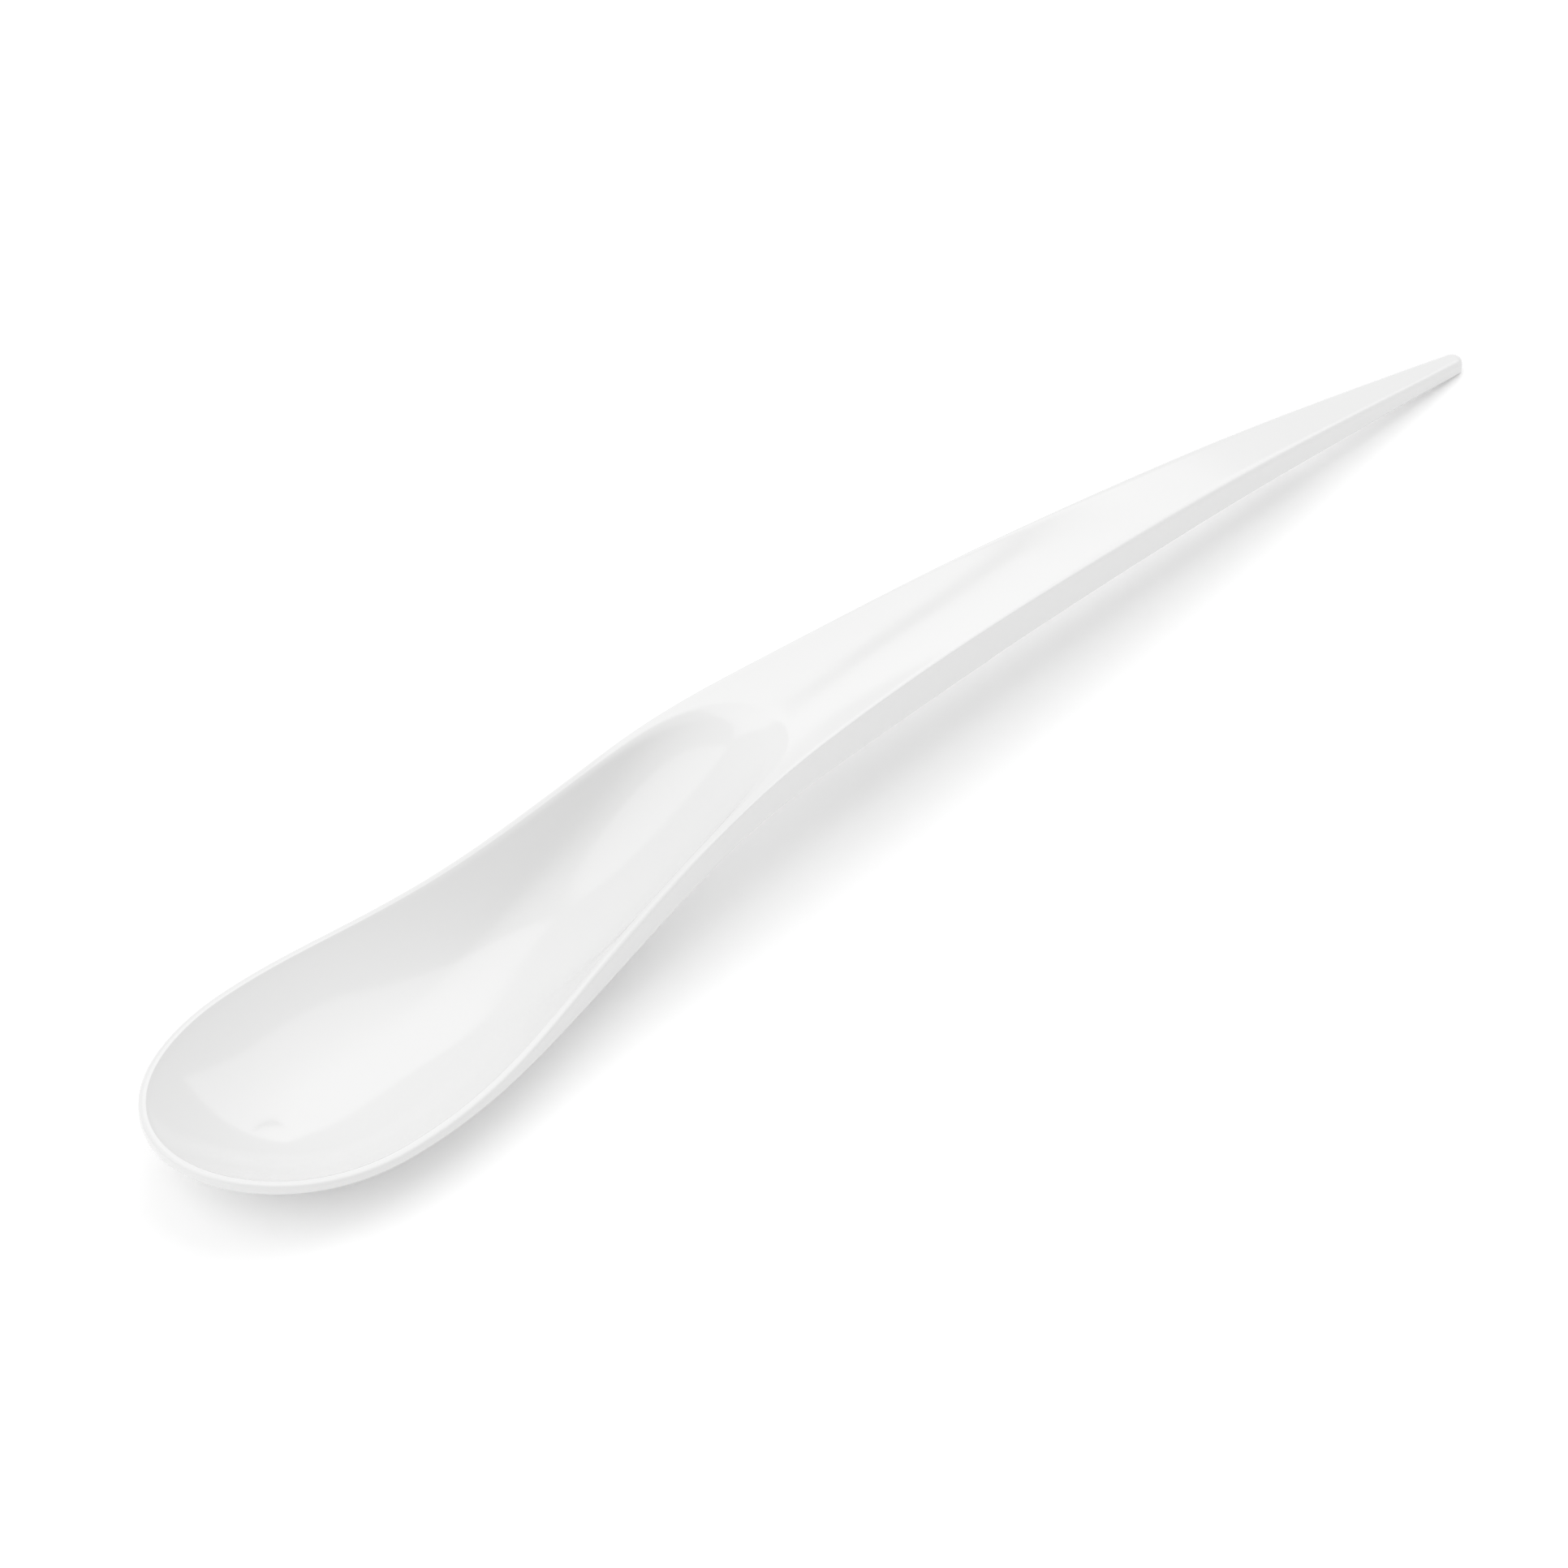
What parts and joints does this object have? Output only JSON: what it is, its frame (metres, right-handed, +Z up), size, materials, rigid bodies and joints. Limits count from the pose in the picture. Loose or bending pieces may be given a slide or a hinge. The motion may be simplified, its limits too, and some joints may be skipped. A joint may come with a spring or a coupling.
{
  "type": "spoon",
  "caption": "One-piece moulded plastic spoon: deep oval bowl whose rim climbs into a slim, arched handle with upright sides, tapering to a rounded end",
  "frame": {"origin": "middle of the flat foot under the bowl, on the table", "axes": "+X along the spoon from the bowl to the end of the handle, +Y across it, +Z up from the table"},
  "size_m": [0.185, 0.0292, 0.015],
  "materials": {
    "white_plastic": "smooth gloss"
  },
  "bodies": {
    "root": {"spoon": "white_plastic"}
  },
  "joints": []
}
